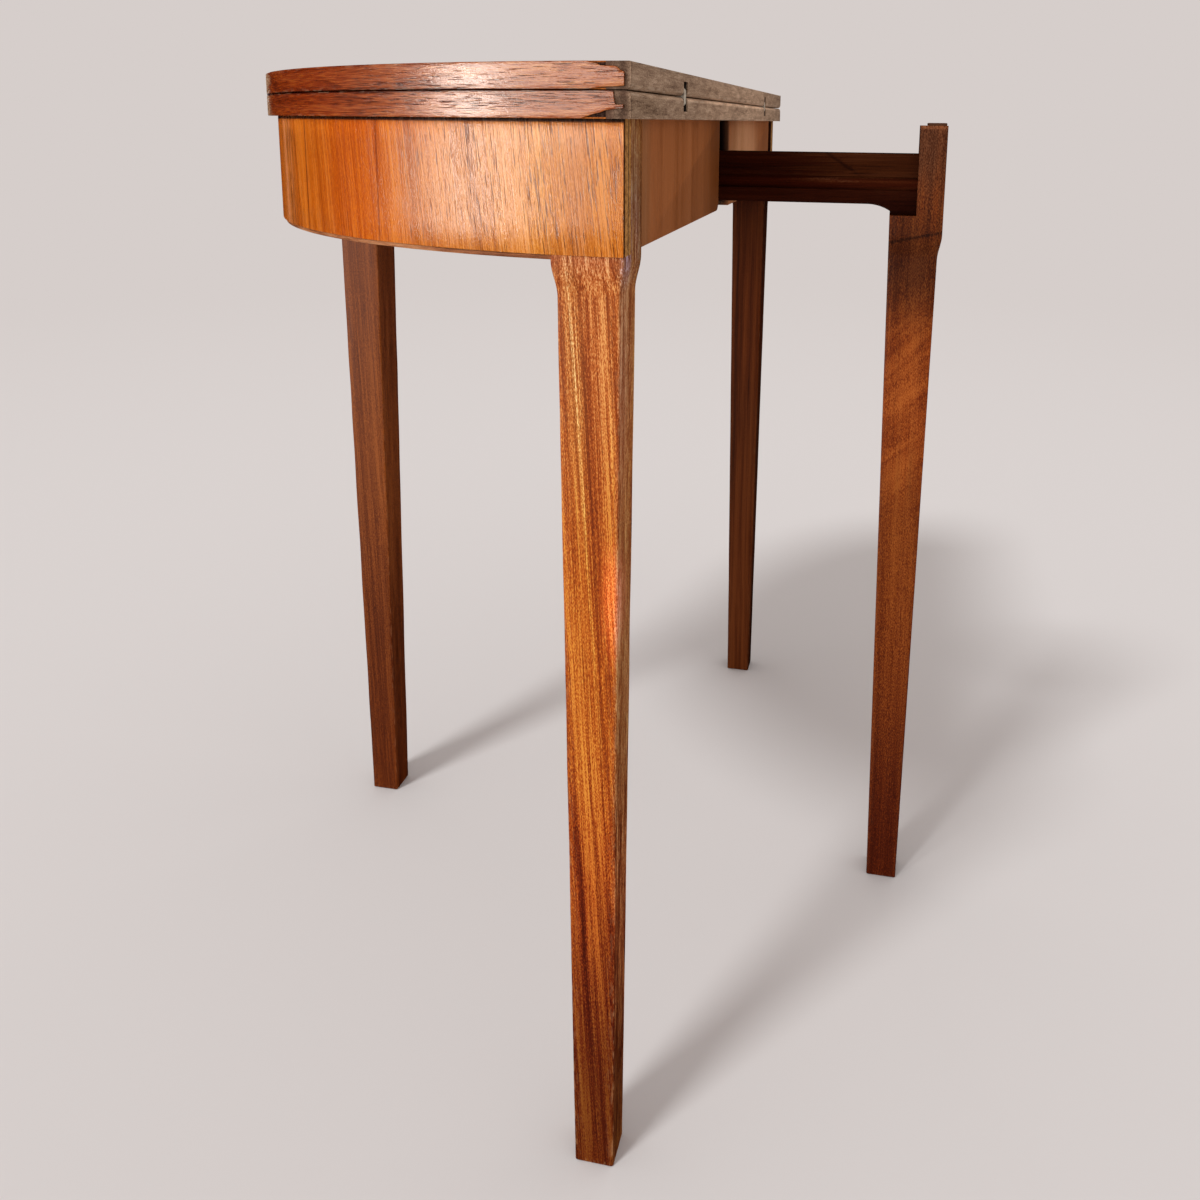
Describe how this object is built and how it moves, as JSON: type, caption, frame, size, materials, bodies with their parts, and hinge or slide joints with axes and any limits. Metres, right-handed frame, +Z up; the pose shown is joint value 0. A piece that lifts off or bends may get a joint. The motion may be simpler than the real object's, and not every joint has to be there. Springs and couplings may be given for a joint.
{
  "type": "metamorphic side table",
  "caption": "Half-round wooden side table whose folded double top turns over on link hinges onto a sliding back leg to make a round table.",
  "frame": {"origin": "on the floor, in the middle of the outline with the back leg pulled out and the top folded", "axes": "+X along the straight back towards the golden corner leg, +Y from the curved front to the sliding back leg, +Z up"},
  "size_m": [0.772, 0.568, 0.7366],
  "materials": {
    "leaf_core": "plain sawn core",
    "edge_band": "satin red-brown veneer band, grain along the edge",
    "edge_strip": "satin grey-brown solid wood",
    "face_veneer": "satin teak veneer",
    "apron_veneer": "satin orange-brown teak veneer, grain upright",
    "dark_ply": "raw dark ply edge",
    "light_ply": "raw golden ply edge",
    "mid_ply": "raw brown ply edge",
    "lipping": "satin light brown strip",
    "back_veneer": "satin orange-brown veneer",
    "leg_golden": "satin golden-brown teak",
    "leg_dark": "satin dark red-brown teak",
    "leg_brown": "satin brown teak",
    "rail_wood": "very dark waxed hardwood",
    "hidden_wood": "plain sawn hardwood",
    "dowel_wood": "plain beech",
    "pad_felt": "thin dark felt",
    "hinge_dark": "dulled metal",
    "hinge_pale": "worn pale metal",
    "screw_steel": "zinc-plated steel"
  },
  "bodies": {
    "frame": {"lower_leaf": "leaf_core", "lower_leaf_edge_band": "edge_band", "lower_leaf_hinge_strip": "edge_strip", "lower_leaf_top_veneer": "face_veneer", "lower_leaf_under_veneer": "face_veneer", "right_lower_hinge_cup": "hinge_dark", "left_lower_hinge_cup": "hinge_dark", "lower_hinge_pins": "hinge_pale", "lower_hinge_screws": "screw_steel", "apron_face_veneer": "apron_veneer", "apron_outer_ply": "dark_ply", "apron_middle_ply": "light_ply", "apron_inner_ply": "mid_ply", "apron_backing_ply": "light_ply", "apron_lipping": "lipping", "right_back_panel": "back_veneer", "left_back_panel": "back_veneer", "right_corner_leg": "leg_golden", "left_corner_leg": "leg_dark", "front_leg": "leg_brown", "right_corner_block": "hidden_wood", "left_corner_block": "hidden_wood", "panel_dowels": "dowel_wood", "leg_screws": "screw_steel", "right_guide_cheek": "hidden_wood", "left_guide_cheek": "hidden_wood", "right_runner": "hidden_wood", "left_runner": "hidden_wood", "cheek_dowels": "dowel_wood", "runner_screws": "screw_steel", "stop_block": "hidden_wood", "stop_screws": "screw_steel", "right_back_fixing_block": "hidden_wood", "left_back_fixing_block": "hidden_wood", "right_front_fixing_block": "hidden_wood", "left_front_fixing_block": "hidden_wood", "fixing_screws": "screw_steel"},
    "hinge_links": {"right_hinge_link": "hinge_pale", "left_hinge_link": "hinge_pale"},
    "upper_leaf": {"upper_leaf": "leaf_core", "upper_leaf_edge_band": "edge_band", "upper_leaf_hinge_strip": "edge_strip", "upper_leaf_inner_veneer": "face_veneer", "upper_leaf_outer_veneer": "face_veneer", "right_upper_hinge_cup": "hinge_dark", "left_upper_hinge_cup": "hinge_dark", "upper_hinge_pins": "hinge_pale", "upper_hinge_screws": "screw_steel"},
    "sliding_leg": {"sliding_leg": "leg_dark", "slide_rail": "rail_wood", "rail_dowels": "dowel_wood", "stop_peg": "dowel_wood", "leaf_rest_pad": "pad_felt"}
  },
  "joints": [
    {"name": "link_hinge", "type": "hinge", "parent": "frame", "child": "hinge_links", "pos_m": [0, 0.0988, 0.7178], "axis": [-1, 0, 0], "range_deg": [0, 90]},
    {"name": "leaf_hinge", "type": "hinge", "parent": "hinge_links", "child": "upper_leaf", "pos_m": [0, 0.0988, 0.7248], "axis": [-1, 0, 0], "range_deg": [0, 90]},
    {"name": "leg_slide", "type": "slide", "parent": "frame", "child": "sliding_leg", "axis": [0, 1, 0], "range_m": [-0.189, 0]}
  ],
  "couplings": [
    {"joint": "link_hinge", "follows": "leaf_hinge", "ratio": 1}
  ]
}
